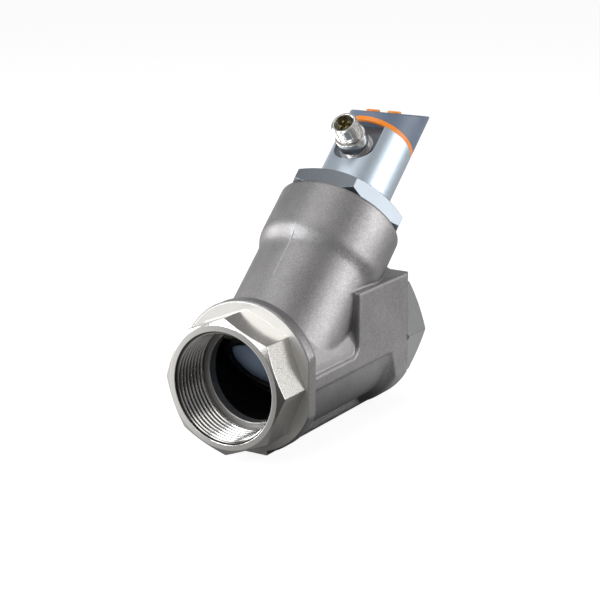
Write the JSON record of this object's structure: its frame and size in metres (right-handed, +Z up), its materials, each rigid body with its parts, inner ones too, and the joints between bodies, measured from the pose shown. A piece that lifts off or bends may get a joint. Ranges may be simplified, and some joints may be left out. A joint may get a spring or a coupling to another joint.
{
  "type": "flow sensor",
  "caption": "Inline flow sensor: cast Y-shaped pipe body with threaded ends, a spring-loaded piston in the slanted branch, and a turning steel head with plug socket and display.",
  "frame": {"origin": "centre of the inlet face, on the pipe's centre line", "axes": "+X along the pipe from inlet to outlet, +Z up on the side of the branch, the branch leans towards +X in the XZ plane"},
  "size_m": [0.1584, 0.0604, 0.1321],
  "materials": {
    "cast_body": "fine blasted nickel finish on brass casting",
    "turned_steel": "turned satin",
    "bonnet_steel": "machined satin nickel",
    "housing_steel": "satin stainless steel",
    "connector_metal": "bright nickel-plated",
    "spring_steel": "drawn wire",
    "seal_rubber": "matt black elastomer",
    "piston_polymer": "smooth filled polymer",
    "bearing_polymer": "sintered bearing polymer",
    "magnet": "sintered magnet",
    "contact_brass": "gold-plated contacts",
    "carrier_polymer": "moulded contact carrier",
    "orange_plastic": "moulded orange, semi-gloss",
    "cap_plastic": "fine-textured blue-grey polymer",
    "window_clear": "clear window",
    "display_black": "segment display",
    "board_laminate": "circuit board",
    "switch_plastic": "push switch",
    "probe_potting": "potted probe"
  },
  "bodies": {
    "valve": {"valve_body": "cast_body", "seat_ring": "turned_steel", "bonnet": "bonnet_steel", "bonnet_seal": "seal_rubber", "sensor_pocket": "turned_steel", "bonnet_stop_pin": "turned_steel", "return_spring": "spring_steel"},
    "piston_unit": {"piston": "piston_polymer", "piston_seal": "seal_rubber", "piston_magnet": "magnet", "magnet_clip": "spring_steel", "guide_bush": "bearing_polymer"},
    "head": {"head_housing": "housing_steel", "retaining_ring": "spring_steel", "swivel_seal": "seal_rubber", "head_stop_pin": "turned_steel", "connector_shell": "connector_metal", "connector_gasket": "seal_rubber", "connector_nut": "connector_metal", "contact_carrier": "carrier_polymer", "contact_pins": "contact_brass", "accent_ring": "orange_plastic", "display_cap": "cap_plastic", "display_window": "window_clear", "display_module": "display_black", "display_board": "board_laminate", "button_switches": "switch_plastic", "main_board": "board_laminate", "sensor_probe": "probe_potting"},
    "mode_key": {"mode_button": "orange_plastic"},
    "set_key": {"set_button": "orange_plastic"}
  },
  "joints": [
    {"name": "head_swivel", "type": "hinge", "parent": "valve", "child": "head", "pos_m": [0.033, 0, 0], "axis": [0.7431, 0, 0.6691], "range_deg": [-172.5, 172.5]},
    {"name": "piston_slide", "type": "slide", "parent": "valve", "child": "piston_unit", "axis": [0.7431, 0, 0.6691], "range_m": [0, 0.015], "stiffness_N_per_m": 200, "springref_m": -0.01, "deforming": ["return_spring"]},
    {"name": "mode_button_press", "type": "slide", "parent": "head", "child": "mode_key", "axis": [-0.1736, 0, -0.9848], "range_m": [0, 0.0008], "stiffness_N_per_m": 800, "springref_m": -0.0005},
    {"name": "set_button_press", "type": "slide", "parent": "head", "child": "set_key", "axis": [-0.1736, 0, -0.9848], "range_m": [0, 0.0008], "stiffness_N_per_m": 800, "springref_m": -0.0005}
  ]
}
